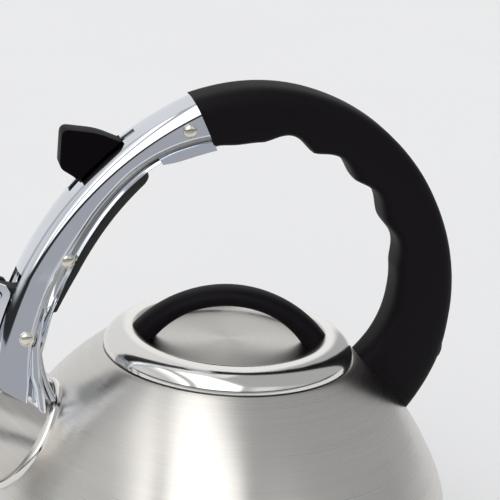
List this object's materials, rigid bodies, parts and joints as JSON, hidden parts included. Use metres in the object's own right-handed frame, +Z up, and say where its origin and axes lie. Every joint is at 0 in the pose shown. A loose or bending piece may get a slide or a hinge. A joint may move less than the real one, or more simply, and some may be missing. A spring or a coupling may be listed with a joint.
{
  "type": "stovetop whistling kettle",
  "caption": "Domed steel stovetop kettle with arched handle, thumb trigger and flip-up whistle cap.",
  "frame": {"origin": "centre of the base cover's underside, on the hob", "axes": "+Z up through the lid, -X towards the spout, +X towards the grip's rear foot, -Y towards the side the picture was taken from"},
  "size_m": [0.2557, 0.206, 0.2397],
  "materials": {
    "brushed_steel": "fine brushed, soft satin",
    "polished_steel": "mirror polished",
    "chrome_channel": "chrome plated, slightly blue",
    "rivet_nickel": "satin nickel",
    "black_grip": "soft matte",
    "black_nylon": "semi matte",
    "aluminium_core": "cast",
    "seal": "matte silicone",
    "spring_steel": "drawn wire"
  },
  "bodies": {
    "kettle": {"body_shell": "brushed_steel", "neck_ring": "brushed_steel", "base_pan": "brushed_steel", "heat_disc": "aluminium_core", "base_cover": "brushed_steel", "spout_tube": "brushed_steel", "spout_lip": "polished_steel", "spout_collar": "polished_steel", "front_bracket": "chrome_channel", "bracket_foot": "polished_steel", "grip_bridge": "polished_steel", "grip": "black_grip", "grip_rivet": "rivet_nickel", "guide_pin": "rivet_nickel", "cap_pivot": "rivet_nickel", "rear_lug": "brushed_steel", "rear_screw": "rivet_nickel", "rear_plug": "black_grip"},
    "lid": {"lid_rim": "polished_steel", "lid_disc": "brushed_steel", "lid_sleeve": "brushed_steel", "lid_handle": "black_grip", "lid_screws": "rivet_nickel", "lid_washers": "rivet_nickel"},
    "trigger": {"trigger_bar": "black_nylon", "thumb_tab": "black_grip", "tab_pin": "rivet_nickel", "trigger_pin": "rivet_nickel"},
    "cap": {"cap_arm": "chrome_channel", "arm_bridge": "chrome_channel", "arm_rivet": "rivet_nickel", "whistle_cap": "polished_steel", "whistle_plate": "brushed_steel", "cap_seal": "seal", "return_spring": "spring_steel"}
  },
  "joints": [
    {"name": "lid_lift", "type": "slide", "parent": "kettle", "child": "lid", "axis": [0, 0, 1], "range_m": [0, 0.045]},
    {"name": "cap_open", "type": "hinge", "parent": "kettle", "child": "cap", "pos_m": [-0.0908, 0, 0.1302], "axis": [0, 1, 0], "range_deg": [0, 26], "stiffness_Nm_per_rad": 0.03, "springref_deg": -20.05},
    {"name": "trigger_pull", "type": "hinge", "parent": "kettle", "child": "trigger", "pos_m": [0.0477, 0, 0.0971], "axis": [0, 1, 0], "range_deg": [0, 2.6]}
  ],
  "couplings": [
    {"joint": "trigger_pull", "follows": "cap_open", "ratio": 0.1}
  ]
}
